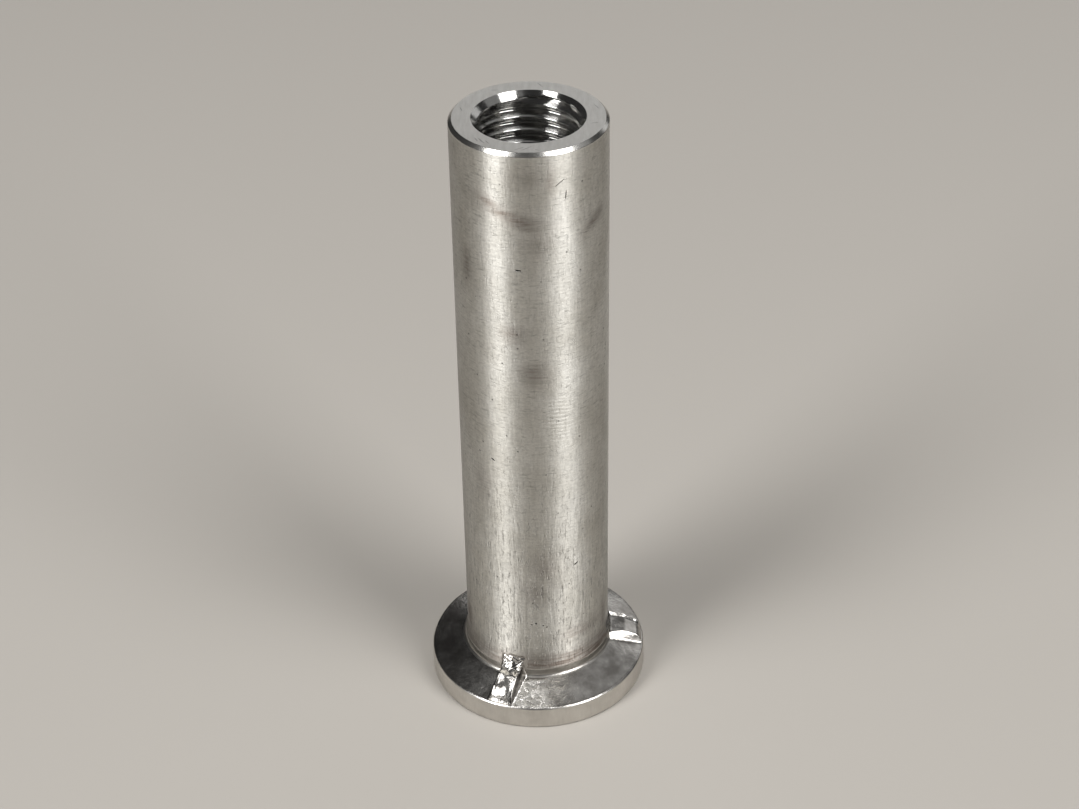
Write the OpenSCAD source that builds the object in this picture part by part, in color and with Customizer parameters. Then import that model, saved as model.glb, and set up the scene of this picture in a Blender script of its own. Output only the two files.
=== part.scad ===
// Cast-in ferrule: a round bar with a hot-forged foot at one end and a threaded
// socket drilled into the other. Millimetres, +Z up, the origin at the centre of
// the foot's underside. It is forged and turned from one bar, so it is one solid.

/* [Barrel] */
// Overall length, from the foot's underside to the top face
overall_l = 96; // [60:1:140]
// Outside diameter of the turned barrel
barrel_d = 22; // [20:0.5:30]
// Leg of the 45 degree chamfer round the top face
top_chamfer = 0.5; // [0.2:0.1:1.2]

/* [Threaded socket] */
// Diameter of the tapping bore, which is the thread's minor diameter
bore_d = 14; // [8:0.1:15]
// How much wider than the bore its countersunk mouth is, on the radius
mouth_leg = 0.9; // [0.3:0.1:1.2]
// Included angle of the countersink
mouth_angle = 90; // [60:1:120]
// Depth of the full bore below the top face
bore_depth = 38; // [20:1:42]
// Included angle of the drill point at the bottom of the bore
drill_angle = 118; // [90:1:140]

/* [Collar of unturned bar] */
// How far the unturned bar stands proud of the barrel, on the radius
collar_proud = 0.33; // [0.1:0.01:1]
// Height of the collar's top edge above the root of the foot's cone
collar_h = 1.15; // [0.6:0.05:3]
// Height over which the turned surface sweeps out to the collar
sweep_h = 2.4; // [1:0.1:6]
// Fillet between the collar and the foot's cone
root_r = 0.5; // [0.2:0.05:0.8]

/* [Forged foot] */
// How far the foot's underside reaches out past the barrel, on the radius
foot_reach = 6; // [5:0.1:10]
// Height of the rim, up to the corner where its side meets the cone
rim_h = 3.6; // [2:0.1:8]
// Draft of the rim's side, in degrees from upright
rim_draft = 5; // [0:0.5:10]
// Slope of the cone from the rim up to the collar, in degrees from level
cone_slope = 22; // [10:1:35]
// Radius on the rim's top edge
rim_edge_r = 0.35; // [0.1:0.05:0.8]
// Radius on the foot's bottom edge
base_edge_r = 0.3; // [0.1:0.05:0.8]

/* [Anti-rotation ribs] */
// Direction of each rib from the axis, in degrees anticlockwise from +X
rib_angles = [0.5, 124.5, 248.5];
// Height of each rib's root on the barrel, above the root of the foot's cone
rib_root_h = [2.3, 3.1, 3.1];
// Fall of each rib's top towards the rim, in degrees from level
rib_fall = [8, 30, 30];
// How far in from the rim's corner each rib's end bevel starts
rib_bevel_l = [2.6, 0.9, 0.9];
// Width of a rib where its sides meet the cone
rib_w = 3.9; // [2:0.1:6]
// Draft of a rib's sides, in degrees
rib_draft = 10; // [0:0.5:14]
// Radius along the foot of a rib's sides
rib_foot_r = 0.7; // [0.4:0.1:2]
// Radius of the hollow where a rib's top runs up to the barrel
rib_hollow_r = 1.8; // [1:0.1:3]
// How deep the turned barrel cuts into that hollow, on the radius
rib_hollow_cut = 0.05; // [0.02:0.01:0.3]
// How far in from the rim's corner a rib's end bevel meets the cone
rib_toe_l = 0.25; // [0.2:0.05:0.5]

/* [Hidden] */
$fn = 96;
steel = "#a9a69f";
// overlap that carries one shape into the next
bite = 1;
// a rib's fillets are set in by this much, so that they cross its sides at an angle
lap = 0.02;
barrel_r = barrel_d / 2;
collar_r = barrel_r + collar_proud;
foot_r = barrel_r + foot_reach;
// the corner where the rim's side meets the cone
rim_r = foot_r - rim_h * tan(rim_draft);
rim_corner = [rim_r, rim_h];
// the cone runs up to the collar's side at this height
cone_root_z = rim_h + (rim_r - collar_r) * tan(cone_slope);
collar_z = cone_root_z + collar_h;
sweep_z = collar_z + sweep_h;
// one arc, upright where it leaves the barrel, meets the collar's top edge
sweep_r = (collar_proud * collar_proud + sweep_h * sweep_h) / (2 * collar_proud);
mouth_depth = mouth_leg / tan(mouth_angle / 2);
bore_floor_z = overall_l - bore_depth;
drill_point_h = bore_d / 2 / tan(drill_angle / 2);
// a rib's hollow starts this far above its root, where the barrel cuts into it
rib_hollow_rise = sqrt(pow(rib_hollow_r, 2) - pow(rib_hollow_r - rib_hollow_cut, 2));
rib_toe = [rim_r - rib_toe_l, rim_h + rib_toe_l * tan(cone_slope)];
// a rib is cut from this much of a turn of its profile, in degrees
rib_sector = 60;
// leg of the fillet along the foot of a rib's drafted side
rib_fillet_leg = rib_foot_r / tan(45 + rib_draft / 2);
rib_spread = rib_w / 2 + rib_fillet_leg;
// a rib's feet are sunk this far, to reach the cone where it curves away from them
rib_sink = (norm([collar_r, rib_spread]) - collar_r) * sin(cone_slope);

function unit(v) = v / norm(v);

// The sliver between a corner and an arc of radius r that touches both its legs:
// cut away it rounds an outside corner, added it fills an inside one. It runs on
// past the corner, so that it shares no edge with the legs.
module corner_sliver(corner, along_a, along_b, r) {
    a = unit(along_a);
    b = unit(along_b);
    half = acos(a * b) / 2;
    leg = r / tan(half);
    outward = unit(a + b);
    centre = corner + outward * r / sin(half);
    difference() {
        polygon([corner - outward * r, corner + a * leg, centre, corner + b * leg]);
        translate(centre) circle(r);
    }
}

// Half section of the forged foot, under the collar
module foot_section() {
    down_rim = [foot_r, 0] - rim_corner;
    up_cone = [collar_r, cone_root_z] - rim_corner;
    difference() {
        polygon([[0, 0], [foot_r, 0], rim_corner, [collar_r, cone_root_z], [0, cone_root_z]]);
        corner_sliver(rim_corner, down_rim, up_cone, rim_edge_r);
        corner_sliver([foot_r, 0], -down_rim, [-1, 0], base_edge_r);
    }
    corner_sliver([collar_r, cone_root_z], -up_cone, [0, 1], root_r);
}

// Half section of the bar: the unturned collar, the swept run-out and the barrel
module bar_section() {
    translate([0, cone_root_z - bite]) square([collar_r, collar_h + bite]);
    difference() {
        translate([0, collar_z]) square([collar_r, sweep_h]);
        translate([barrel_r + sweep_r, sweep_z]) circle(sweep_r, $fn = 360);
    }
    polygon([[0, sweep_z - bite], [barrel_r, sweep_z - bite], [barrel_r, overall_l - top_chamfer],
             [barrel_r - top_chamfer, overall_l], [0, overall_l]]);
}

// Profile of a rib from inside the bar out to its toe, down to below the cone
module rib_side(root_h, fall, bevel_l) {
    inside = collar_r - 2 * bite;
    hollow = [barrel_r - rib_hollow_cut + rib_hollow_r, cone_root_z + root_h + rib_hollow_rise];
    top_start = hollow - rib_hollow_r * [sin(fall), cos(fall)];
    bevel_r = rim_r - bevel_l;
    bevel_start = [bevel_r, top_start[1] - (bevel_r - top_start[0]) * tan(fall)];
    difference() {
        polygon([[inside, rim_h - bite], [inside, hollow[1]], hollow, top_start, bevel_start,
                 rib_toe + unit(rib_toe - bevel_start) * rib_toe_l]);
        translate(hollow) circle(rib_hollow_r);
    }
}

// Cross section of a rib, square to the cone's slope: drafted sides on hollow feet
module rib_cross() {
    half_w = rib_w / 2;
    tall = max(rib_root_h) + 2 * bite;
    lean = tall * tan(rib_draft);
    polygon([[half_w, -2 * bite], [half_w, 0], [half_w - lean, tall],
             [lean - half_w, tall], [-half_w, 0], [-half_w, -2 * bite]]);
    corner_sliver([half_w - lap, -lap], [1, 0], [-lean, tall], rib_foot_r);
    corner_sliver([lap - half_w, -lap], [lean, tall], [-1, 0], rib_foot_r);
}

// One rib along +X: its turned profile, kept where its cross section runs down the cone
module rib(root_h, fall, bevel_l) {
    intersection() {
        rotate([0, 0, -rib_sector / 2]) rotate_extrude(angle = rib_sector)
            rib_side(root_h, fall, bevel_l);
        translate([rim_r, 0, rim_h]) rotate([0, cone_slope - 90, 0]) rotate([0, 0, -90])
            translate([0, -rib_sink, -bite]) linear_extrude(foot_r) rib_cross();
    }
}

// The drilled and countersunk socket, left at its tapping size
module socket() {
    translate([0, 0, bore_floor_z]) cylinder(d = bore_d, h = bore_depth + bite);
    translate([0, 0, bore_floor_z - drill_point_h])
        cylinder(d1 = 0, d2 = bore_d, h = drill_point_h);
    translate([0, 0, overall_l - mouth_depth])
        cylinder(d1 = bore_d, d2 = bore_d + 2 * mouth_leg, h = mouth_depth);
}

module ferrule() {
    color(steel) difference() {
        union() {
            rotate_extrude() {
                foot_section();
                bar_section();
            }
            for (i = [0 : len(rib_angles) - 1]) rotate([0, 0, rib_angles[i]])
                rib(rib_root_h[i], rib_fall[i], rib_bevel_l[i]);
        }
        socket();
    }
}

ferrule();
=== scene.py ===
"""Cast-in ferrule: one forged and turned stainless bar with a threaded socket.

Lengths are millimetres and angles degrees until a mesh is made, in metres.
Directions round the axis are anticlockwise from +X. The front is -Y.
"""
import math

import bmesh
import bpy
import numpy as np
from mathutils import Matrix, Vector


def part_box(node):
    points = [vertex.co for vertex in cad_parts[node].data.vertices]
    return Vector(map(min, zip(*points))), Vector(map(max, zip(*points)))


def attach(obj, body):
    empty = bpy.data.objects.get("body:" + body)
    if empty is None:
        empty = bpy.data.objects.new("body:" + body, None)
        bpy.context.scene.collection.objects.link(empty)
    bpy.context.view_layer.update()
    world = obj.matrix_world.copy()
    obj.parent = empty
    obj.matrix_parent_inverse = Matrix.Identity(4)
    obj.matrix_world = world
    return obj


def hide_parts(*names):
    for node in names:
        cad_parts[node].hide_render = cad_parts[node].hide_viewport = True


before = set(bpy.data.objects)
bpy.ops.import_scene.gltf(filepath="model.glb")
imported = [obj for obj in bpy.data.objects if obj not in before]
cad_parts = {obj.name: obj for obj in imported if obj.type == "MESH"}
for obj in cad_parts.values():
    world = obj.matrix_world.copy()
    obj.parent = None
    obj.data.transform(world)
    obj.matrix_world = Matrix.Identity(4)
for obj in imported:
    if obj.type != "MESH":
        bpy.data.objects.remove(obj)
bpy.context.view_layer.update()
MM = 0.001

# --- Sizes of the part -------------------------------------------------------
low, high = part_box("ferrule")
OVERALL = (high.z - low.z) / MM
FOOT_R = (high.x - low.x) / MM / 2
BARREL_R = 11.0
CHAMFER = 0.5
MOUTH_R = 7.9
COLLAR_R = 11.33
COLLAR_H = 1.15
SWEEP_H = 2.4
RIM_R = 16.69
RIM_H = 3.6
CONE_SLOPE = 22.0
# How far the cone rises for each millimetre inwards
CONE_RISE = math.tan(math.radians(CONE_SLOPE))
CONE_ROOT_Z = RIM_H + (RIM_R - COLLAR_R) * CONE_RISE
COLLAR_Z = CONE_ROOT_Z + COLLAR_H
SWEEP_Z = COLLAR_Z + SWEEP_H
# How far from its corner each rounding starts
BASE_EDGE = 0.6
RIM_EDGE = 0.3
ROOT_FILLET = 0.36
TURNED_EDGE = 0.05
FACED_EDGE = 0.04
# How much thicker the forging is at the back, and how far it is drawn in at its sides
BACK_THICKER = 0.3
SIDES_DRAWN_IN = 0.14

THREAD_PITCH = 2.0
THREAD_CREST_R = 7.0
THREAD_ROOT_R = 7.93
THREAD_L = 32.0
# The cut starts in this direction, and is at full depth this many turns on
THREAD_START = 112
THREAD_RUN_IN = 0.16
# How far down the first turn begins, in turns
THREAD_PHASE = 0.22
# The thread's form down one turn: where each point is, and its share of the full depth
THREAD_AT = np.array([0, 0.09, 0.125, 0.16, 0.28, 0.40, 0.44,
                      0.5, 0.56, 0.60, 0.72, 0.84, 0.875, 0.91])
THREAD_CUT = np.array([0, 0, 0.035, 0.14, 0.5, 0.87, 0.97,
                       1.0, 0.97, 0.87, 0.5, 0.14, 0.035, 0])
BORE_DEPTH = 38.0
DRILL_ANGLE = 118.0
# The hidden skin that closes each piece lies behind the socket's wall, from this far down
SKIN_R = 8.5
SKIN_DEPTH = 0.7

# Each rib: its direction where it leaves the bar and where it ends at the rim; how high
# its top is crowned, how rippled it is, and how much it flutters in its hollow; and its two
# sides, anticlockwise side first. A side has the line of the top's edge as (radius, height)
# pairs, how high a lip stands along it, and how far the edge and the foot of the wall are
# from the rib's middle, each at the bar and at the rim.
CUT_EDGE = [(11.0, 9.0), (11.08, 8.7), (11.3, 8.15), (11.6, 7.65), (12.0, 7.25), (12.6, 7.0),
            (13.2, 6.85), (13.9, 6.45), (15.2, 5.75), (15.85, 5.1), (16.42, 3.85)]
RIBS = [
    dict(at_bar=0.9, at_rim=0.3, crown=-0.05, ripple=0.02, flutter=0, sides=(
        dict(edge=[(10.99, 8.1), (11.2, 7.55), (11.6, 7.3), (13.7, 6.85), (14.4, 6.4),
                   (15.6, 5.7), (16.1, 5.3), (16.45, 4.2)],
             lip=0.36, top=(1.75, 1.6), foot=(2.1, 2.0)),
        dict(edge=[(10.99, 7.9), (11.2, 7.0), (11.6, 6.6), (13.6, 6.25), (14.4, 5.95),
                   (15.6, 5.35), (16.1, 4.8), (16.45, 4.0)],
             lip=0, top=(1.75, 1.1), foot=(3.3, 1.9)))),
    dict(at_bar=124.5, at_rim=124.5, crown=0.06, ripple=0.03, flutter=0.01, sides=(
        dict(edge=CUT_EDGE, lip=0, top=(1.5, 1.5), foot=(1.95, 1.95)),
        dict(edge=CUT_EDGE, lip=0, top=(1.5, 1.5), foot=(1.95, 1.95)))),
    dict(at_bar=249.2, at_rim=248.0, crown=0.06, ripple=0.035, flutter=0.034, sides=(
        dict(edge=CUT_EDGE, lip=0.06, top=(1.45, 1.45), foot=(2.2, 1.9)),
        dict(edge=CUT_EDGE, lip=0.1, top=(1.4, 1.5), foot=(1.8, 1.95)))),
]
RIB_FOOT_FILLET = 0.35
RIB_EDGE = 0.18
# The corners of a rib's edge line are eased over this much each way
RIB_EASE = 0.16
# A point this far off the plain section is on a rib
RIB_PROUD = 0.04

# The body's finishes, in the order of its materials
FORGED, TURNED, BRIGHT, FACED, COLLAR, DRESSED = range(6)
# Points nearer than this are one, in metres, and an edge that turns more than this is sharp
SAME_POINT = 1e-7
SHARP_TURN = 38


# --- Small tools -------------------------------------------------------------
def colour(hex_code):
    """sRGB hex to linear RGBA."""
    parts = [int(hex_code[i:i + 2], 16) / 255 for i in (1, 3, 5)]
    linear = [p / 12.92 if p <= 0.04045 else ((p + 0.055) / 1.055) ** 2.4 for p in parts]
    return (*linear, 1.0)


def smooth(edge_0, edge_1, x):
    """0 before edge_0, 1 after edge_1, with a smooth cubic between them."""
    t = np.clip((x - edge_0) / (edge_1 - edge_0), 0, 1)
    return t * t * (3 - 2 * t)


def around(azimuth, direction):
    """Signed angle from a direction, from -180 to 180."""
    return (azimuth - direction + 180) % 360 - 180


def line(start, end, steps):
    """Points on a straight line, its end left out."""
    t = np.linspace(0, 1, steps, endpoint=False)[:, None]
    return np.array(start) * (1 - t) + np.array(end) * t


def bend(start, corner, end, t):
    """The parabola that leaves start towards the corner and reaches end from it."""
    return (1 - t) ** 2 * start + 2 * t * (1 - t) * corner + t ** 2 * end


def round_corner(before, corner, after, leg, steps):
    """A corner rounded off: a parabola that touches both its sides a leg away, and a point
    half a leg further on at each end, which keeps the flats looking flat."""
    before, corner, after = map(np.array, (before, corner, after))
    start = corner + leg * (before - corner) / np.linalg.norm(before - corner)
    end = corner + leg * (after - corner) / np.linalg.norm(after - corner)
    curve = bend(start, corner, end, np.linspace(0, 1, steps)[:, None])
    before, after = corner + 1.5 * (start - corner), corner + 1.5 * (end - corner)
    return np.concatenate([[before], curve, [after]])


def along(path, steps):
    """A path's points spread evenly by length."""
    length = np.concatenate([[0], np.cumsum(np.linalg.norm(np.diff(path, axis=0), axis=1))])
    even = np.linspace(0, length[-1], steps)
    return np.stack([np.interp(even, length, path[:, i]) for i in (0, 1)], -1)


def turned_about_axis(azimuth, r, z):
    """Points from their direction, radius and height."""
    turn = np.radians(azimuth)
    return np.stack([r * np.cos(turn), r * np.sin(turn), z], -1)


def make_piece(name, points, finishes, materials, marks):
    """One closed piece from a grid of points, rows by columns; each face has its finish,
    and each kind of mark is kept as how strong it is at every point. Rows and columns
    that meet are merged, and a true edge stays sharp."""
    rows, columns = points.shape[:2]
    index = np.arange(rows * columns).reshape(rows, columns)
    quads = np.stack([index[:-1, :-1], index[:-1, 1:], index[1:, 1:], index[1:, :-1]], -1)
    mesh = bpy.data.meshes.new(name)
    mesh.from_pydata((points.reshape(-1, 3) * MM).tolist(), [], quads.reshape(-1, 4).tolist())
    mesh.polygons.foreach_set("material_index",
                              np.broadcast_to(finishes, (rows - 1, columns - 1)).ravel())
    for material in materials:
        mesh.materials.append(material)
    for kind, strength in marks.items():
        mesh.attributes.new(kind, "FLOAT", "POINT").data.foreach_set("value", strength.ravel())
    whole = bmesh.new()
    whole.from_mesh(mesh)
    bmesh.ops.remove_doubles(whole, verts=whole.verts, dist=SAME_POINT)
    bmesh.ops.dissolve_degenerate(whole, edges=whole.edges, dist=SAME_POINT / 10)
    whole.to_mesh(mesh)
    whole.free()
    mesh.shade_smooth()
    mesh.set_sharp_from_angle(angle=math.radians(SHARP_TURN))
    piece = bpy.data.objects.new(name, mesh)
    bpy.context.scene.collection.objects.link(piece)
    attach(piece, "root")
    return piece


# --- Forged and turned body --------------------------------------------------
def section_of_foot():
    """The foot's half section as (radius, height) rows, in three runs: out along the
    underside and up round the rim; in up the cone; and past the collar, whose top edge
    meets an arc that ends upright on the barrel. Its straight lines stop a little clear of
    its rounded corners."""
    rim_low = np.array([FOOT_R - 0.02, 0])
    rim_high = np.array([RIM_R, RIM_H])
    root = np.array([COLLAR_R, CONE_ROOT_Z])
    collar_top = (COLLAR_R, COLLAR_Z)
    rim = np.concatenate([
        line((0, 0), (FOOT_R - 1.1, 0), 6),
        round_corner((0, 0), rim_low, rim_high, BASE_EDGE, 7),
        line(rim_low + 0.26 * (rim_high - rim_low), rim_high - (0.0, 0.75), 6),
        round_corner(rim_low, rim_high, root, RIM_EDGE, 9)])
    cone_r = np.linspace(RIM_R - 0.33, COLLAR_R + 0.45, 54)
    cone = np.stack([cone_r, RIM_H + (RIM_R - cone_r) * CONE_RISE], -1)
    proud = COLLAR_R - BARREL_R
    sweep_r = (proud ** 2 + SWEEP_H ** 2) / (2 * proud)
    sweep_z = np.linspace(COLLAR_Z, SWEEP_Z, 16)
    sweep = np.stack(
        [BARREL_R + sweep_r - np.sqrt(sweep_r ** 2 - (SWEEP_Z - sweep_z) ** 2), sweep_z], -1)
    rise = np.concatenate([
        round_corner(rim_high, root, collar_top, ROOT_FILLET, 8),
        round_corner(root, collar_top, sweep[3], TURNED_EDGE, 4),
        sweep[1:]])
    return rim, cone, rise


def eased(edge, radius):
    """Height of an edge line at a radius, its corners eased by a sliding mean."""
    line_r, line_z = np.array(edge).T
    offsets = np.linspace(-RIB_EASE, RIB_EASE, 9)
    return np.mean([np.interp(radius + o, line_r, line_z) for o in offsets], 0)


def rib_rows(edge, cone, steps):
    """An edge of a rib's top, row by row: above the cone's own rows, then spread evenly
    up its hollow to the barrel."""
    over_cone = np.stack([cone[:, 0], np.maximum(eased(edge, cone[:, 0]), cone[:, 1])], -1)
    run = np.linspace(cone[-1, 0], BARREL_R, 60)
    hollow = np.stack([run, np.minimum(eased(edge, run), SWEEP_Z)], -1)
    hollow = np.concatenate([hollow, [[BARREL_R, SWEEP_Z]]])
    return np.concatenate([over_cone, along(hollow, steps)[1:]])


def across_rib(height, half_top, half_foot):
    """Half of a rib's cross section for a column of heights, from its middle out past its
    foot: a top, a rounded edge, a drafted wall and a hollow fillet. Gives the distance
    from the middle and the share of the height that is reached. Where the rib is low, its
    draft, edge and fillet shrink with it."""
    height, half_top, half_foot = height[:, None], half_top[:, None], half_foot[:, None]
    draft = (half_foot - half_top) * np.clip(height / 2, 0.15, 1)
    top = half_foot - draft
    edge = np.minimum(RIB_EDGE, 0.4 * height + 0.004)
    fillet = np.minimum(RIB_FOOT_FILLET, 0.7 * height + 0.004)
    wall = np.hypot(draft, height) + 1e-6
    out, down = draft / wall, -height / wall
    t = np.linspace(0, 1, 7)
    edge_y = bend(top - edge, top, top + edge * out, t)
    edge_h = bend(height, height, height + edge * down, t)
    t = np.linspace(0, 1, 9)
    foot_y = bend(half_foot - fillet * out, half_foot, half_foot + fillet, t)
    foot_h = bend(-fillet * down, 0, 0, t)
    t = np.linspace(0, 1, 7)[1:-1]
    wall_y = (1 - t) * edge_y[:, -1:] + t * foot_y[:, :1]
    wall_h = (1 - t) * edge_h[:, -1:] + t * foot_h[:, :1]
    t = np.linspace(0, 1, 8)[:-1]
    y = np.concatenate([t * edge_y[:, :1], edge_y, wall_y, foot_y], 1)
    h = np.concatenate([height + 0 * t, edge_h, wall_h, foot_h], 1)
    return y, h / np.maximum(height, 1e-6) * (height > 0.02)


def rib_top(rib, side, middle, edge, reach, y):
    """A rib's top on one side of its middle: straight from the middle to the edge, then
    crowned or dished by a parabola, raised in a lip along the edge, rippled by two crossed
    sines, and fluttered by two finer ones in the hollow where it meets the barrel."""
    top = middle[:, None] + (edge - (0, side["lip"]) - middle)[:, None] * reach[..., None]
    r, z = top[..., 0], top[..., 1]
    ripple = np.sin(y * 1.9 + r * 1.3) + np.sin(y * 3.3 - r * 2.1 + 1)
    flutter = (np.sin(y * 7.1 + 2.6 * np.sin(z * 2.9)) * np.sin(z * 7.9 - y * 2.7)
               * smooth(13.2, 12.6, r) * smooth(BARREL_R, BARREL_R + 0.1, r) * rib["flutter"])
    raised = (rib["crown"] * (1 - reach ** 2) + rib["ripple"] * ripple + flutter
              + side["lip"] * smooth(0.72, 0.95, reach))
    return top + np.stack([flutter, raised], -1)


def ribbed_block(rib, cone, foot_rows):
    """The columns over one rib. A column keeps its distance from the rib's middle, and a
    point moves from the plain section towards the rib's top by the share it has reached."""
    left, right = (rib_rows(side["edge"], cone, len(foot_rows) - len(cone) + 1)
                   for side in rib["sides"])
    middle = (left + right) / 2
    middle[:, 1] -= (rib["sides"][0]["lip"] + rib["sides"][1]["lip"]) / 2
    to_bar = (RIM_R - foot_rows[:, 0]) / (RIM_R - BARREL_R)
    halves = []
    for hand, edge, side in ((-1, right, rib["sides"][1]), (1, left, rib["sides"][0])):
        half_top, half_foot = (at_rim + to_bar * (at_bar - at_rim)
                               for at_bar, at_rim in (side["top"], side["foot"]))
        y, part = across_rib(np.linalg.norm(edge - foot_rows, axis=1), half_top, half_foot)
        reach = np.minimum(y / half_top[:, None], 1)
        top = rib_top(rib, side, middle, edge, reach, hand * y)
        place = foot_rows[:, None] + part[..., None] * (top - foot_rows[:, None])
        halves.append((hand * y, place[..., 0], place[..., 1]))
    y, r, z = (np.concatenate([a[:, :0:-1], b], 1) for a, b in zip(*halves))
    centre = rib["at_rim"] + to_bar[:, None] * (rib["at_bar"] - rib["at_rim"])
    return centre + np.degrees(np.arcsin(y / foot_rows[:, :1])), r, z


def round_the_foot(cone, foot_rows):
    """The foot's rows all the way round: a block of columns over each rib, and columns
    spread evenly between a rib and the next."""
    blocks = [ribbed_block(rib, cone, foot_rows) for rib in RIBS]
    gap = np.linspace(0, 1, 62)[None, 1:-1]
    columns = []
    for block, following, turn in zip(blocks, blocks[1:] + blocks[:1], (0, 0, 360)):
        between = block[0][:, -1:] * (1 - gap) + (following[0][:, :1] + turn) * gap
        columns += [block, (between, foot_rows[:, :1] + 0 * gap, foot_rows[:, 1:] + 0 * gap)]
    return [np.concatenate(grids, 1) for grids in zip(*columns)]


def body_surface():
    """The whole outside as rows up the bar's section by columns round the axis, and each
    face's finish. The foot is a little thicker at the back and drawn in at its sides."""
    rim, cone, rise = section_of_foot()
    foot_rows = np.concatenate([cone, rise[1:]])
    shoulder, face = (BARREL_R, OVERALL - CHAMFER), (BARREL_R - CHAMFER, OVERALL)
    barrel = line((BARREL_R, SWEEP_Z), (BARREL_R, OVERALL - CHAMFER - 0.1), 151)[1:]
    # The chamfer's two edges, the top face in to the mouth, and the hidden skin
    end = np.concatenate([
        round_corner((BARREL_R, 0), shoulder, face, TURNED_EDGE, 4),
        round_corner(shoulder, face, (0, OVERALL), FACED_EDGE, 4),
        [(9.5, OVERALL), (8.5, OVERALL), (MOUTH_R, OVERALL)],
        [(SKIN_R + 0.1, OVERALL - SKIN_DEPTH), (SKIN_R + 0.1, 55), (0, 50)]])
    plain = np.concatenate([rim, foot_rows, barrel, end])
    foot = slice(len(rim), len(rim) + len(foot_rows))
    round_foot = round_the_foot(cone, foot_rows)
    r, z = (np.repeat(plain[:, i:i + 1], round_foot[0].shape[1], 1) for i in (0, 1))
    azimuth = np.concatenate([np.repeat(round_foot[0][:1], len(rim), 0), round_foot[0],
                              np.repeat(round_foot[0][-1:], len(barrel) + len(end), 0)])
    r[foot], z[foot] = round_foot[1:]
    azimuth, r, z = (np.concatenate([grid, grid[:, :1] + more], 1)
                     for grid, more in ((azimuth, 360), (r, 0), (z, 0)))

    # Each finish and the row that it goes up to, from the top down: the chamfer is 8 rows,
    # the collar ends 15 rows up the rise, and the dressing half-way round the rim's edge
    cone_top, barrel_top = len(rim) + len(cone), foot.stop + len(barrel)
    finishes = np.full((len(plain) - 1, 1), FACED)
    for finish, up_to in ((BRIGHT, barrel_top + 8), (TURNED, barrel_top), (COLLAR, cone_top + 15),
                          (FORGED, cone_top - 1), (DRESSED, len(rim) - 5)):
        finishes[:up_to] = finish
    # A rib keeps its forged skin up to where the turning cuts it off
    on_rib = np.hypot(r - plain[:, :1], z - plain[:, 1:]) > RIB_PROUD
    finishes = np.where(on_rib[1:, 1:] & on_rib[:-1, 1:] & on_rib[1:, :-1] & on_rib[:-1, :-1],
                        FORGED, finishes)

    turn = np.radians(azimuth)
    outer = smooth(COLLAR_R, RIM_R, r) * (z < SWEEP_Z)
    z = z + BACK_THICKER * smooth(0.1, 0.7, np.sin(turn)) * outer * np.clip(z / RIM_H, 0, 1)
    r = r - SIDES_DRAWN_IN * np.cos(turn) ** 2 * outer * np.clip(1 - z / RIM_H, 0, 1)
    return turned_about_axis(azimuth, r, z), finishes


# --- Threaded socket ---------------------------------------------------------
def socket_surface():
    """The socket's wall as rows that climb with the thread, one pitch a turn, by columns
    round the axis. The radius is the thread's own at each row, or the countersink's where
    that is wider. The cut starts shallow and deepens. A hidden skin closes the piece."""
    azimuth = np.linspace(0, 360, 161)[None, :]
    next_at = np.append(THREAD_AT[1:], 1)
    fine = np.sort(np.concatenate([THREAD_AT, (THREAD_AT + next_at) / 2]))
    turns = range(-1, int(THREAD_L / THREAD_PITCH) + 1)
    steps = np.concatenate([n + fine for n in turns])[:, None]
    z = OVERALL - (steps - azimuth / 360 + THREAD_PHASE) * THREAD_PITCH
    cut = np.interp(steps % 1, np.append(THREAD_AT, 1), np.append(THREAD_CUT, 0))
    run_in = smooth(0, THREAD_RUN_IN, np.floor(steps) + (THREAD_START - azimuth) / 360)
    run_out = smooth(OVERALL - THREAD_L, OVERALL - THREAD_L + THREAD_PITCH, z)
    r = THREAD_CREST_R + (THREAD_ROOT_R - THREAD_CREST_R) * cut * run_in * run_out
    z = np.clip(z, OVERALL - THREAD_L, OVERALL)
    r = np.maximum(r, MOUTH_R - (OVERALL - z))
    floor_z = OVERALL - BORE_DEPTH
    tip_z = floor_z - THREAD_CREST_R / math.tan(math.radians(DRILL_ANGLE / 2))
    end = np.array([
        (THREAD_CREST_R, OVERALL - THREAD_L), (THREAD_CREST_R, floor_z),
        (THREAD_CREST_R / 2, (floor_z + tip_z) / 2), (0, tip_z), (0, tip_z - 1),
        (SKIN_R, floor_z - 1), (SKIN_R, OVERALL - SKIN_DEPTH), (MOUTH_R, OVERALL)])
    flat = np.ones_like(azimuth)
    r = np.concatenate([MOUTH_R * flat, r, end[:, :1] * flat])
    z = np.concatenate([OVERALL * flat, z, end[:, 1:] * flat])
    return turned_about_axis(azimuth, r, z)


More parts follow.
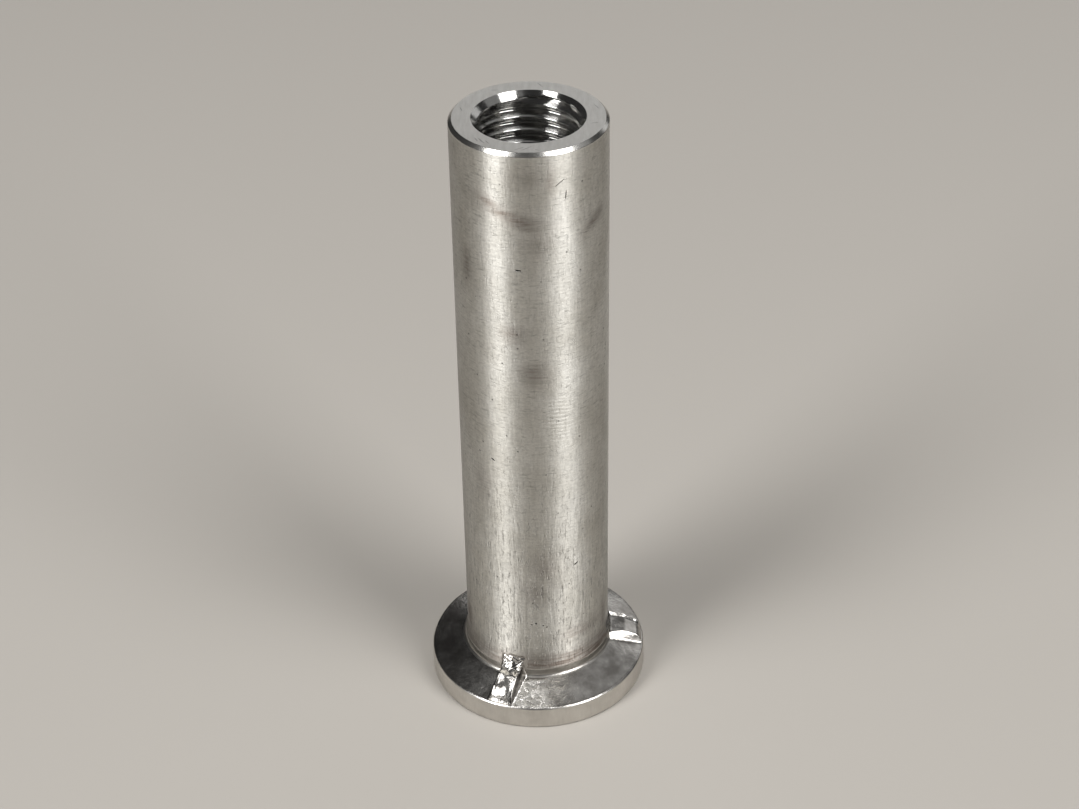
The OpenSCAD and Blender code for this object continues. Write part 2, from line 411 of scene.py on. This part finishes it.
# --- Marks of making and handling --------------------------------------------
# Brown-grey smears left on the barrel: direction, height, half length, half height, tilt
# and how strong it is
SMEARS = [
    (256, 86.4, 4.8, 1.0, -17, 1.3), (264, 85.4, 2.6, 0.9, -20, 1.4),
    (237, 88.4, 2.0, 0.8, -15, 1.3), (216, 76.9, 1.0, 2.2, 0, 1),
    (321, 83.6, 2.6, 0.9, 25, 1.1), (271, 61.2, 2.1, 1.8, 0, 1),
    (256, 67.6, 1.8, 1.6, 0, 1.1), (274, 82.0, 2.2, 1.7, 0, 0.6), (268, 92.3, 3.0, 1.3, 0, 0.55),
    (284, 91.8, 0.9, 2.2, 0, 0.8), (276, 26.5, 1.8, 2.8, 0, 0.8), (268, 22.0, 1.8, 2.0, 0, 0.7),
    (226, 40.0, 1.6, 2.8, 0, 0.6), (306, 12.6, 4.5, 1.5, 0, 1), (196, 11.5, 1.6, 3.2, 0, 1.2),
    (337, 12.0, 1.2, 3.0, 0, 1), (150, 52.0, 2.0, 5.0, 20, 0.7), (60, 70.0, 3.0, 3.0, -20, 0.8),
    (100, 30.0, 3.5, 2.0, 0, 0.8), (10, 45.0, 2.0, 4.0, 0, 0.7)]
# Nicks and scratches in the barrel: direction, height, half length, half width, tilt
NICKS = [
    (260.5, 78.2, 0.55, 0.13, -4), (236.5, 45.5, 0.42, 0.12, -32), (302.2, 26.1, 0.42, 0.14, 28),
    (295.8, 89.3, 0.75, 0.07, 86), (291.3, 91.3, 0.95, 0.06, 34), (265.0, 15.6, 0.15, 0.14, 0),
    (268.5, 15.9, 0.16, 0.16, 0), (274.0, 15.4, 0.17, 0.13, -30), (276.9, 15.1, 0.14, 0.14, 0),
    (75.0, 58.0, 0.6, 0.1, 12), (140.0, 34.0, 0.4, 0.12, -40), (20.0, 66.0, 0.45, 0.1, 25)]
# Scratches in the top face: direction, radius, half length, half width, tilt
FACE_SCRATCHES = [
    (223, 9.6, 0.65, 0.05, 70), (226, 9.3, 0.6, 0.05, 75), (229.5, 9.5, 0.5, 0.05, 80),
    (233, 9.2, 0.55, 0.045, 68), (262, 9.4, 0.9, 0.045, 128), (268, 9.3, 1.0, 0.045, 130),
    (276, 9.8, 0.4, 0.04, 60), (345, 9.1, 0.7, 0.04, 20), (15, 9.6, 0.8, 0.04, 100),
    (80, 9.5, 0.9, 0.04, 40), (120, 9.2, 0.6, 0.05, 60), (165, 9.5, 0.7, 0.04, 120)]
# Where the marks on the front rib and on the right-hand rib take its middle to be
FRONT_RIB = 248.5
RIGHT_RIB = 0.6
# The lathe's chatter: its middle, and how far it spreads in degrees and in millimetres
CHATTER_AT = (286, 53.6)
CHATTER_SPREAD = (20, 3.6)


def barrel_stain_and_foot_shade(azimuth, z):
    """How strongly the barrel is smeared and shaded: a soft oval mound for each smear, and
    painted shade that rises low on the bar to the foot, strongest towards the front right.
    """
    # The first term is painted shade, darkening the bar from 11.5 mm down to 7.4 mm where it meets
    # the foot
    total = 1.5 * smooth(11.5, 7.4, z) * (0.75 + 0.25 * np.cos(np.radians(azimuth - 320)))
    for direction, height, half_length, half_height, tilt, strength in SMEARS:
        across, up = np.radians(around(azimuth, direction)) * BARREL_R, z - height
        c, s = math.cos(math.radians(tilt)), math.sin(math.radians(tilt))
        lengthways = (across * c + up * s) / half_length
        crossways = (up * c - across * s) / half_height
        total = np.maximum(total, strength * np.exp(-lengthways ** 2 - crossways ** 2))
    return total


def beside(azimuth, r, direction):
    """Each point's distance from the line that runs out from the axis in a direction, its
    anticlockwise side positive, and whether the point is in that half of the part."""
    return r * np.sin(np.radians(azimuth - direction)), np.abs(around(azimuth, direction)) < 90


def body_marks(points):
    """Strength of each mark over the body, by direction, radius and height, as products of
    smooth steps: smears, with painted shade rising low on the bar to the foot; the lathe's
    chatter; fine upright rubbing low on the barrel; metal that tore beside the front rib,
    with a painted highlight on it; and painted shade on that rib's walls, in its hollow and
    on the inner half of the right-hand rib's top."""
    x, y, z = np.moveaxis(points, -1, 0)
    azimuth, r = np.degrees(np.arctan2(y, x)) % 360, np.hypot(x, y)
    chatter = np.exp(-(around(azimuth, CHATTER_AT[0]) / CHATTER_SPREAD[0]) ** 2
                     - ((z - CHATTER_AT[1]) / CHATTER_SPREAD[1]) ** 2)
    rubbed = 0.35 + 0.65 * smooth(48, 22, z)
    from_front_rib, at_front_rib = beside(azimuth, r, FRONT_RIB)
    from_right_rib, at_right_rib = beside(azimuth, r, RIGHT_RIB)
    # Metal that tore beside the front rib; the whiter colour it is given there is a painted
    # highlight
    torn_and_highlit = (smooth(1.75, 2.1, from_front_rib) * smooth(280, 271, azimuth - 0.8 * (r - 14))
            * smooth(11.7, 12.3, r) * smooth(16.9, 16.2, r)
            * (z < COLLAR_Z) * (azimuth > FRONT_RIB))
    # Painted shade on the front rib's walls, in its hollow and on the inner half of the right-hand
    # rib's top
    on_walls = (np.exp(-((np.abs(from_front_rib) - 1.75) / 0.2) ** 2) * smooth(11.3, 11.8, r)
                * smooth(16.7, 16.2, r) * at_front_rib * (z > RIM_H))
    in_hollow = (smooth(1.8, 1.5, np.abs(from_front_rib)) * at_front_rib
                 * smooth(12.7, 12.3, r) * smooth(8.0, 7.4, z))
    on_top = (smooth(1.7, 1.4, np.abs(from_right_rib)) * at_right_rib
              * smooth(14.0, 13.5, r) * smooth(11.2, 11.5, r))
    painted_shade = np.maximum.reduce([on_walls, 0.5 * on_top, 0.4 * in_hollow])
    return {"stain_and_foot_shade": barrel_stain_and_foot_shade(azimuth, z), "chatter": chatter, "rubbed": rubbed,
            "torn_and_highlit": torn_and_highlit, "painted_shade": painted_shade}


# --- Materials ---------------------------------------------------------------
# What every noise here shares once its coordinates are stretched to its grain
GRAIN = {"Scale": 1, "Detail": 3, "Roughness": 0.6}
# From one ridge of a wave texture to the next at a scale of 1
WAVE_LENGTH = 0.314


def join(node, inputs):
    """Gives a node its inputs, by name or in their order: a node or a socket is joined to
    its input, and anything else is set as its value."""
    live = [socket for socket in node.inputs if socket.enabled]
    for name, source in inputs.items() if isinstance(inputs, dict) else enumerate(inputs):
        socket = live[name] if isinstance(name, int) else next(s for s in live if s.name == name)
        if isinstance(source, bpy.types.Node):
            source = next(s for s in source.outputs if s.enabled)
        if isinstance(source, bpy.types.NodeSocket):
            node.id_data.links.new(source, socket)
        else:
            socket.default_value = source


def add(tree, kind, inputs=(), **settings):
    """Adds one node with its settings and its inputs."""
    node = tree.nodes.new("ShaderNode" + kind)
    for name, value in settings.items():
        setattr(node, name, value)
    join(node, inputs)
    return node


def per(*sizes):
    """Pattern scales for real sizes in millimetres."""
    return tuple(1 / (size * MM) for size in sizes)


def new_material(name, base, roughness, metallic=1):
    """A material with its node tree, its shader, and the coordinates its patterns use."""
    material = bpy.data.materials.new(name)
    material.use_nodes = True
    tree = material.node_tree
    shader = tree.nodes["Principled BSDF"]
    join(shader, {"Base Color": colour(base), "Metallic": metallic, "Roughness": roughness})
    return material, tree, shader, add(tree, "TexCoord").outputs["Object"]


def placed(direction, radius, height):
    """A point's coordinates in metres."""
    turn = math.radians(direction)
    return radius * MM * math.cos(turn), radius * MM * math.sin(turn), height * MM


def dents(tree, here, ovals):
    """1 inside any of the ovals, 0 outside. An oval has its place, its turn and its half
    sizes in millimetres, and it is a unit ball once these are taken away."""
    total = 0.0
    for place, rotation, half_sizes in ovals:
        ball = add(tree, "Mapping", {
            "Vector": here, "Rotation": tuple(math.radians(a) for a in rotation), "Location": place,
            "Scale": tuple(half * MM for half in half_sizes)}, vector_type="TEXTURE")
        far = add(tree, "VectorMath", (ball,), operation="LENGTH")
        inside = add(tree, "MapRange", {"Value": far, "From Min": 1.0, "From Max": 0.75},
                     interpolation_type="SMOOTHSTEP")
        total = add(tree, "Math", (total, inside), operation="MAXIMUM")
    return total


def turned_stainless():
    """Stainless steel bar, turned and then tumbled. The lathe's rings draw each light out
    into an upright stripe; smears dull it, painted shade darkens it low by the foot, and
    nicks, pits and rubbing break it up."""
    material, tree, shader, here = new_material(
        "turned and tumbled stainless steel", "#cfccc4", 0.45)
    stain_and_foot_shade, chatter, rubbed = (add(tree, "Attribute", attribute_name=kind).outputs["Fac"]
                              for kind in ("stain_and_foot_shade", "chatter", "rubbed"))

    # Noises by the size of their grain. The last five are finer on the real bar: the
    # tumbler's rubbing, a smear's dragged lines, the satin's grit, and the upright and level
    # scratches are drawn about 0.3 to 0.45 mm apart so that they show.
    clouds, speckle, lines, rubbing, drag, grit, upright, level = (
        add(tree, "TexNoise", GRAIN | {
            "Vector": add(tree, "Mapping", {"Vector": here, "Scale": per(*grain)})})
        for grain in ((7, 7, 11), (0.8, 0.8, 0.6), (5, 5, 0.4), (0.45, 0.45, 4), (4, 4, 0.3),
                      (0.5, 0.5, 0.28), (0.3, 0.3, 1.5), (1.5, 1.5, 0.28)))
    # Each is then given its contrast: the noise from and to, the strength from and to
    patches, dragged, gritty, brushed, upright, level = (
        add(tree, "MapRange", {"Value": noise, "From Min": noise_low, "From Max": noise_high,
                               "To Min": least, "To Max": most})
        for noise, noise_low, noise_high, least, most in (
            (clouds, 0.34, 0.66, 0, 1), (drag, 0.36, 0.62, 0.55, 1.05),
            (grit, 0.3, 0.7, 0.86, 1.1), (lines, 0.3, 0.7, 0.95, 1.04),
            (upright, 0.56, 0.7, 0, 1), (level, 0.57, 0.7, 0, 1)))
    dull = add(tree, "Math", (stain_and_foot_shade, dragged), operation="MULTIPLY")
    # Scratches stand upright where the bar is rubbed and lie level above
    scratches = add(tree, "Mix", {"Factor": rubbed, "A": level, "B": upright})
    nicks = dents(tree, here, [
        (placed(direction, BARREL_R, z), (tilt, 0, direction), (1, half_length, half_width))
        for direction, z, half_length, half_width, tilt in NICKS])
    # A pit for some of the cells of a pattern 1.8 mm apart
    cells = add(tree, "TexVoronoi", {"Vector": here, "Scale": per(1.8)[0]})
    drawn = add(tree, "SeparateColor", (cells.outputs["Color"],))
    chosen = add(tree, "Math", (drawn, 0.55), operation="GREATER_THAN")
    near = add(tree, "MapRange", {"Value": cells.outputs["Distance"], "From Min": 0.105,
                                  "From Max": 0.05})
    pits = add(tree, "Math", (near, chosen), operation="MULTIPLY")
    holes = nicks
    for mark, darkness in ((pits, 0.7), (scratches, 0.45)):
        mark = add(tree, "Math", (mark, darkness), operation="MULTIPLY")
        holes = add(tree, "Math", (holes, mark), operation="MAXIMUM")

    # Colour: clouded steel, streaked and gritty, then smeared and darkened by painted shade low by
    # the foot, then holed
    steel = add(tree, "Mix", {"Factor": patches, "A": colour("#c2bfb7"), "B": colour("#d6d4ce")},
                data_type="RGBA")
    streak = add(tree, "Math", (rubbing, 1.0, -0.5), operation="MULTIPLY_ADD")
    streak_depth = add(tree, "Math", (rubbed, 0.65), operation="MULTIPLY")
    streaks = add(tree, "Math", (streak, streak_depth, 1.0), operation="MULTIPLY_ADD")
    for strength in (gritty, streaks, brushed):
        steel = add(tree, "VectorMath", {"Vector": steel, "Scale": strength}, operation="SCALE")
    # The brown tint stands for the smears, and for painted shade low on the bar by the foot
    smear_and_shade_share = add(tree, "Math", (dull, 0.62), operation="MULTIPLY")
    for share, tint in ((smear_and_shade_share, "#7d7066"), (holes, "#1c1917")):
        steel = add(tree, "Mix", {"Factor": share, "A": steel, "B": colour(tint)}, data_type="RGBA")
    rough = add(tree, "Math", (speckle, 0.16, 0.36), operation="MULTIPLY_ADD")
    rough = add(tree, "Math", (dull, 0.14, rough), operation="MULTIPLY_ADD")

    # Chatter is a wave 0.62 mm from ridge to ridge, leaning 9 degrees
    leaning = add(tree, "Mapping", {"Vector": here, "Rotation": (0, math.radians(-9), 0)})
    waves = add(tree, "TexWave", {"Vector": leaning, "Scale": WAVE_LENGTH * per(0.62)[0],
                                  "Distortion": 2.5, "Detail": 2, "Detail Scale": 0.6},
                bands_direction="Z")
    ridges = add(tree, "Math", (waves, chatter), operation="MULTIPLY")
    rubbing = add(tree, "Math", (rubbing, rubbed), operation="MULTIPLY")
    height = 0.0
    for layer, depth in ((rubbing, 0.045), (lines, 0.02), (speckle, 0.016), (ridges, 0.02),
                         (nicks, -0.08), (scratches, -0.02)):
        height = add(tree, "Math", (layer, depth, height), operation="MULTIPLY_ADD")
    join(shader, {
        "Base Color": steel, "Roughness": rough, "Anisotropic": 0.86, "Anisotropic Rotation": 0.25,
        "Tangent": add(tree, "Tangent", direction_type="RADIAL", axis="Z"),
        "Normal": add(tree, "Bump", {"Height": height, "Distance": MM})})
    return material


def forged_stainless():
    """Stainless steel, hot forged and tumbled: a dark sheen with a fine pebbled skin; drag marks
    where the metal tore beside the front rib, whitened there by a painted highlight; and
    painted shade on the front rib's walls and hollow and on the right-hand rib's top."""
    material, tree, shader, here = new_material(
        "forged and tumbled stainless steel", "#bfbcb6", 0.22)
    torn_and_highlit, painted_shade = (add(tree, "Attribute", attribute_name=kind).outputs["Fac"]
                   for kind in ("torn_and_highlit", "painted_shade"))
    clouds, pebble, blotches, drag = (
        add(tree, "TexNoise", GRAIN | {
            "Vector": add(tree, "Mapping", {"Vector": here, "Scale": per(*grain)})})
        for grain in ((3.5, 3.5, 3.5), (0.7, 0.7, 0.7), (1.2, 1.2, 1.2), (0.5, 1.6, 1.6)))
    patches = add(tree, "MapRange", {"Value": clouds, "From Min": 0.36, "From Max": 0.64})
    patchy = add(tree, "MapRange", {"Value": blotches, "From Min": 0.35, "From Max": 0.6,
                                    "To Min": 0.25})
    torn_and_highlit = add(tree, "Math", (torn_and_highlit, patchy), operation="MULTIPLY")
    drag = add(tree, "Math", (drag, torn_and_highlit), operation="MULTIPLY")

    skin = add(tree, "Mix", {"Factor": patches, "A": colour("#999590"), "B": colour("#cfccc7")},
               data_type="RGBA")
    # Painted highlight: the metal that tore beside the front rib is painted whiter
    whitest = add(tree, "Math", (pebble, 0.3), operation="ADD")
    painted_highlight_share = add(tree, "Math", (torn_and_highlit, whitest), operation="MULTIPLY")
    # Painted shade: the front rib's walls and hollow and the right-hand rib's top are darkened
    painted_shade_share = add(tree, "Math", (painted_shade, 0.85), operation="MULTIPLY")
    for share, tint in ((painted_highlight_share, "#c6c3be"), (painted_shade_share, "#2a2725")):
        skin = add(tree, "Mix", {"Factor": share, "A": skin, "B": colour(tint)}, data_type="RGBA")
    rough = add(tree, "Math", (pebble, 0.16, 0.13), operation="MULTIPLY_ADD")
    rough = add(tree, "Math", (torn_and_highlit, 0.22, rough), operation="MULTIPLY_ADD")
    height = 0.0
    for layer, depth in ((pebble, 0.045), (drag, 0.15), (clouds, 0.035)):
        height = add(tree, "Math", (layer, depth, height), operation="MULTIPLY_ADD")
    join(shader, {"Base Color": skin, "Roughness": rough,
                  "Normal": add(tree, "Bump", {"Height": height, "Distance": MM})})
    return material


def dressed_stainless():
    """Stainless steel dressed on a belt round the rim and tumbled: a pale satin with faint
    upright lines."""
    material, tree, shader, here = new_material("belt dressed stainless steel", "#cbc8c2", 0.3)
    # The belt's own lines are finer; drawn 0.4 mm apart so that they show
    clouds, belt = (
        add(tree, "TexNoise", GRAIN | {
            "Vector": add(tree, "Mapping", {"Vector": here, "Scale": per(*grain)})})
        for grain in ((3, 3, 3), (0.4, 0.4, 3)))
    share = height = 0.0
    for layer, tinting, depth in ((belt, 0.3, 0.012), (clouds, 0.7, 0.03)):
        share = add(tree, "Math", (layer, tinting, share), operation="MULTIPLY_ADD")
        height = add(tree, "Math", (layer, depth, height), operation="MULTIPLY_ADD")
    skin = add(tree, "Mix", {"Factor": share, "A": colour("#aeaaa4"), "B": colour("#e8e5df")},
               data_type="RGBA")
    join(shader, {"Base Color": skin,
                  "Normal": add(tree, "Bump", {"Height": height, "Distance": MM})})
    return material


def collar_stainless():
    """Stainless steel left as forged where the lathe tool lifts off above the foot: smoother
    than the barrel, and painted darker for the shade low on the bar by the foot."""
    material, tree, shader, here = new_material(
        "unturned collar of stainless steel", "#a8a49c", 0.3)
    grains = add(tree, "Mapping", {"Vector": here, "Scale": per(0.9, 0.9, 0.5)})
    pebble = add(tree, "TexNoise", GRAIN | {"Vector": grains})
    # The darker tints are painted shade
    skin = add(tree, "Mix", {"Factor": pebble, "A": colour("#96928c"), "B": colour("#c4c1bb")},
               data_type="RGBA")
    height = add(tree, "Math", (pebble, 0.02), operation="MULTIPLY")
    join(shader, {"Base Color": skin,
                  "Normal": add(tree, "Bump", {"Height": height, "Distance": MM})})
    return material


def faced_stainless():
    """Stainless steel faced on the lathe: a pale satin with fine rings about the axis and a
    few handling scratches."""
    material, tree, shader, here = new_material("faced stainless steel", "#cfccc6", 0.34)
    flat = add(tree, "VectorMath", (here, (1, 1, 0)), operation="MULTIPLY")
    radius = add(tree, "VectorMath", (flat,), operation="LENGTH")
    # The tool's feed is finer than this; drawn 0.25 mm apart so that it shows
    ring = add(tree, "Math", (radius, per(0.25)[0]), operation="MULTIPLY")
    rings = add(tree, "TexNoise", {"W": ring, "Scale": 1, "Detail": 2}, noise_dimensions="1D")
    grains = add(tree, "Mapping", {"Vector": here, "Scale": per(0.5, 2.5, 1)})
    scuffs = add(tree, "TexNoise", GRAIN | {"Vector": grains})
    scratches = dents(tree, here, [
        (placed(direction, r, OVERALL), (0, 0, direction + tilt), (half_length, half_width, 1))
        for direction, r, half_length, half_width, tilt in FACE_SCRATCHES])

    skin = add(tree, "Mix", {"Factor": scuffs, "A": colour("#bcb9b3"), "B": colour("#e0deda")},
               data_type="RGBA")
    share = add(tree, "Math", (scratches, 0.75), operation="MULTIPLY")
    skin = add(tree, "Mix", {"Factor": share, "A": skin, "B": colour("#4c4845")}, data_type="RGBA")
    height = 0.0
    for layer, depth in ((rings, 0.006), (scuffs, 0.016), (scratches, -0.03)):
        height = add(tree, "Math", (layer, depth, height), operation="MULTIPLY_ADD")
    join(shader, {"Base Color": skin,
                  "Normal": add(tree, "Bump", {"Height": height, "Distance": MM})})
    return material


def cut_stainless(name, tint, roughness, ringed=0.0):
    """Stainless steel cut by a sharp tool, with a faint waviness: close to a mirror, or a
    satin whose rings draw each light out along the axis."""
    material, tree, shader, here = new_material(name, tint, roughness)
    grains = add(tree, "Mapping", {"Vector": here, "Scale": per(1.4, 1.4, 1.4)})
    wavy = add(tree, "TexNoise", GRAIN | {"Vector": grains})
    height = add(tree, "Math", (wavy, 0.015), operation="MULTIPLY")
    join(shader, {
        "Anisotropic": ringed, "Anisotropic Rotation": 0.25,
        "Tangent": add(tree, "Tangent", direction_type="RADIAL", axis="Z"),
        "Normal": add(tree, "Bump", {"Height": height, "Distance": MM})})
    return material


# --- The two pieces ----------------------------------------------------------
points, finishes = body_surface()
body_materials = [  # in the order of the finishes' numbers
    forged_stainless(), turned_stainless(),
    cut_stainless("bright chamfered stainless steel", "#cfcdc8", 0.2),
    faced_stainless(), collar_stainless(), dressed_stainless()]
body = make_piece("forged_body", points, finishes, body_materials, body_marks(points))
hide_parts("ferrule")
# The tapped steel's tint is a little darker than the chamfer's: painted shade deep in the bore
make_piece("threaded_socket", socket_surface(), 0,
           [cut_stainless("tapped stainless steel", "#b9b8b5", 0.15, ringed=0.85)], {})


# --- Floor, light and camera -------------------------------------------------
FLOOR_HALF = 4.0
# The lamps aim at this height, and the camera looks from this place, in metres
LAMPS_AIM = 0.05
CAMERA_PLACE = (0, -0.26671, 0.23222)
CAMERA_LENS = 73.33
CAMERA_TURN, CAMERA_DOWN, CAMERA_ROLL = -0.177, 34.54, -0.971
WORLD_LEVEL = 0.04


def lay_floor():
    """A plain flat square under the part."""
    mesh = bpy.data.meshes.new("floor")
    corners = [(x * FLOOR_HALF, y * FLOOR_HALF, 0)
               for x, y in ((-1, -1), (1, -1), (1, 1), (-1, 1))]
    mesh.from_pydata(corners, [], [(0, 1, 2, 3)])
    mesh.materials.append(new_material("plain pale floor", "#aca7a0", 0.9, metallic=0)[0])
    floor = bpy.data.objects.new("floor", mesh)
    bpy.context.scene.collection.objects.link(floor)


def softbox(name, azimuth, elevation, distance, width, height, power, lean=0):
    """A rectangular lamp aimed at the middle of the part from a direction, and leaning
    towards lower azimuth at its top."""
    lamp = bpy.data.lights.new(name, "AREA")
    lamp.shape = "RECTANGLE"
    lamp.size, lamp.size_y, lamp.energy = width, height, power
    holder = bpy.data.objects.new(name, lamp)
    bpy.context.scene.collection.objects.link(holder)
    holder.matrix_world = (Matrix.Translation((0, 0, LAMPS_AIM))
                           @ Matrix.Rotation(math.radians(azimuth + 90), 4, "Z")
                           @ Matrix.Rotation(math.radians(90 - elevation), 4, "X")
                           @ Matrix.Translation((0, 0, distance))
                           @ Matrix.Rotation(math.radians(lean), 4, "Z"))


lay_floor()
softbox("left softbox", 217, 37, 1.2, 0.4, 1.4, 16, lean=14)
softbox("right softbox", 320, 37, 1.2, 0.54, 1.4, 15.5, lean=-14)
softbox("back softbox", 73, 24, 1.5, 1.95, 0.72, 3.2)
softbox("ceiling", 35, 68, 1.6, 1.9, 1.9, 3.2)

world = bpy.data.worlds.new("studio")
bpy.context.scene.world = world
world.use_nodes = True
join(world.node_tree.nodes["Background"], {"Color": colour("#ffffff"), "Strength": WORLD_LEVEL})

camera = bpy.data.objects.new("camera", bpy.data.cameras.new("camera"))
bpy.context.scene.collection.objects.link(camera)
camera.data.lens = CAMERA_LENS
camera.data.clip_start = 0.01
camera.matrix_world = (Matrix.Translation(CAMERA_PLACE)
                       @ Matrix.Rotation(math.radians(CAMERA_TURN), 4, "Z")
                       @ Matrix.Rotation(math.radians(90 - CAMERA_DOWN), 4, "X")
                       @ Matrix.Rotation(math.radians(CAMERA_ROLL), 4, "Z"))
bpy.context.scene.camera = camera
bpy.context.scene.view_settings.view_transform = "Standard"
